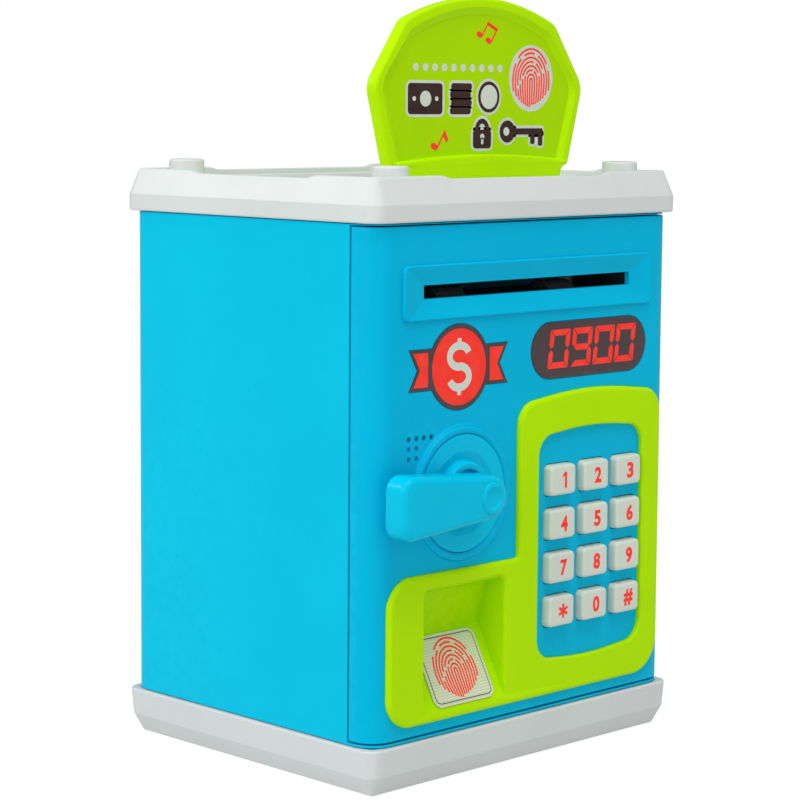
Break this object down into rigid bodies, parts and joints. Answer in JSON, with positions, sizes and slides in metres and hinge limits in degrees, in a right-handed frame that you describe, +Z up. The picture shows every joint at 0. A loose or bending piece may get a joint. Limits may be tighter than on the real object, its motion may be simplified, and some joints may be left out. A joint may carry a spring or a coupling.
{
  "type": "toy safe savings bank",
  "caption": "Toy cash-machine savings bank: box with hinged keypad door, lever latch, powered note slot, coin slot in the lid and a sign on top.",
  "frame": {"origin": "centre of the flat underside of the base tray", "axes": "+Z up; the door faces -Y; +X is to the right of someone facing the door, where its hinge is"},
  "size_m": [0.143, 0.1332, 0.246],
  "materials": {
    "blue_plastic": "semi-gloss moulded plastic",
    "white_plastic": "satin moulded plastic",
    "lime_plastic": "semi-gloss moulded plastic",
    "key_plastic": "satin moulded plastic with printed numerals",
    "dark_plastic": "matt moulded plastic",
    "label_dark": "printed label",
    "label_red": "printed label",
    "label_sage": "printed label",
    "rubber": "matt rubber",
    "board_green": "solder-masked board",
    "gear_cream": "satin acetal",
    "steel": "plated steel",
    "battery_wrap": "shrink-wrapped cell"
  },
  "bodies": {
    "case": {"casing": "blue_plastic", "base_tray": "white_plastic", "top_cap": "white_plastic", "topper_sign": "lime_plastic", "base_screw_1": "steel", "base_screw_2": "steel", "base_screw_3": "steel", "base_screw_4": "steel", "hinge_pin_lower": "steel", "hinge_pin_upper": "steel"},
    "door": {"front_door": "blue_plastic", "control_panel": "lime_plastic", "display_label": "label_dark", "badge_label": "label_red", "scanner_label": "label_sage", "keypad_mat": "rubber", "keypad_board": "board_green", "main_board": "board_green", "speaker": "dark_plastic", "back_cover": "white_plastic", "battery_cover": "white_plastic", "battery_1": "battery_wrap", "battery_2": "battery_wrap", "battery_3": "battery_wrap", "cover_screw_1": "steel", "cover_screw_2": "steel", "cover_screw_3": "steel", "cover_screw_4": "steel", "note_guide": "dark_plastic", "feed_motor": "steel", "lock_solenoid": "dark_plastic"},
    "handle": {"handle_lever": "blue_plastic", "handle_cap": "blue_plastic", "handle_screw": "steel", "dial_disc": "blue_plastic", "latch_cam": "dark_plastic"},
    "latch_bolt": {"latch_bolt": "steel"},
    "lock_plunger": {"lock_plunger": "steel"},
    "feed_rollers": {"feed_shaft": "steel", "feed_gear": "gear_cream", "feed_roller_left": "rubber", "feed_roller_right": "rubber"},
    "pressure_rollers": {"pressure_shaft": "steel", "pressure_roller_left": "rubber", "pressure_roller_right": "rubber"},
    "motor_pinion": {"motor_pinion": "gear_cream"},
    "key_1": {"key_1": "key_plastic"},
    "key_2": {"key_2": "key_plastic"},
    "key_3": {"key_3": "key_plastic"},
    "key_4": {"key_4": "key_plastic"},
    "key_5": {"key_5": "key_plastic"},
    "key_6": {"key_6": "key_plastic"},
    "key_7": {"key_7": "key_plastic"},
    "key_8": {"key_8": "key_plastic"},
    "key_9": {"key_9": "key_plastic"},
    "key_star": {"key_star": "key_plastic"},
    "key_0": {"key_0": "key_plastic"},
    "key_hash": {"key_hash": "key_plastic"}
  },
  "joints": [
    {"name": "door_hinge", "type": "hinge", "parent": "case", "child": "door", "pos_m": [0.062, -0.0505, 0.095], "axis": [0, 0, 1], "range_deg": [0, 95]},
    {"name": "handle_turn", "type": "hinge", "parent": "door", "child": "handle", "pos_m": [-0.032, -0.0585, 0.091], "axis": [0, -1, 0], "range_deg": [0, 90]},
    {"name": "latch_bolt_slide", "type": "slide", "parent": "door", "child": "latch_bolt", "axis": [1, 0, 0], "range_m": [0, 0.00595]},
    {"name": "lock_plunger_slide", "type": "slide", "parent": "door", "child": "lock_plunger", "axis": [0, 0, -1], "range_m": [-0.0025, 0]},
    {"name": "feed_roller_spin", "type": "hinge", "parent": "door", "child": "feed_rollers", "pos_m": [0, -0.043, 0.1484], "axis": [1, 0, 0], "continuous": true},
    {"name": "pressure_roller_spin", "type": "hinge", "parent": "door", "child": "pressure_rollers", "pos_m": [0, -0.043, 0.1588], "axis": [1, 0, 0], "continuous": true},
    {"name": "motor_pinion_spin", "type": "hinge", "parent": "door", "child": "motor_pinion", "pos_m": [-0.0555, -0.043, 0.13496], "axis": [1, 0, 0], "continuous": true},
    {"name": "key_1_press", "type": "slide", "parent": "door", "child": "key_1", "axis": [0, 1, 0], "range_m": [0, 0.0012], "stiffness_N_per_m": 400},
    {"name": "key_2_press", "type": "slide", "parent": "door", "child": "key_2", "axis": [0, 1, 0], "range_m": [0, 0.0012], "stiffness_N_per_m": 400},
    {"name": "key_3_press", "type": "slide", "parent": "door", "child": "key_3", "axis": [0, 1, 0], "range_m": [0, 0.0012], "stiffness_N_per_m": 400},
    {"name": "key_4_press", "type": "slide", "parent": "door", "child": "key_4", "axis": [0, 1, 0], "range_m": [0, 0.0012], "stiffness_N_per_m": 400},
    {"name": "key_5_press", "type": "slide", "parent": "door", "child": "key_5", "axis": [0, 1, 0], "range_m": [0, 0.0012], "stiffness_N_per_m": 400},
    {"name": "key_6_press", "type": "slide", "parent": "door", "child": "key_6", "axis": [0, 1, 0], "range_m": [0, 0.0012], "stiffness_N_per_m": 400},
    {"name": "key_7_press", "type": "slide", "parent": "door", "child": "key_7", "axis": [0, 1, 0], "range_m": [0, 0.0012], "stiffness_N_per_m": 400},
    {"name": "key_8_press", "type": "slide", "parent": "door", "child": "key_8", "axis": [0, 1, 0], "range_m": [0, 0.0012], "stiffness_N_per_m": 400},
    {"name": "key_9_press", "type": "slide", "parent": "door", "child": "key_9", "axis": [0, 1, 0], "range_m": [0, 0.0012], "stiffness_N_per_m": 400},
    {"name": "key_star_press", "type": "slide", "parent": "door", "child": "key_star", "axis": [0, 1, 0], "range_m": [0, 0.0012], "stiffness_N_per_m": 400},
    {"name": "key_0_press", "type": "slide", "parent": "door", "child": "key_0", "axis": [0, 1, 0], "range_m": [0, 0.0012], "stiffness_N_per_m": 400},
    {"name": "key_hash_press", "type": "slide", "parent": "door", "child": "key_hash", "axis": [0, 1, 0], "range_m": [0, 0.0012], "stiffness_N_per_m": 400}
  ],
  "couplings": [
    {"joint": "latch_bolt_slide", "follows": "handle_turn", "m_per_rad": 0.003782},
    {"joint": "pressure_roller_spin", "follows": "feed_roller_spin", "ratio": -1.5},
    {"joint": "motor_pinion_spin", "follows": "feed_roller_spin", "ratio": -2.5}
  ]
}
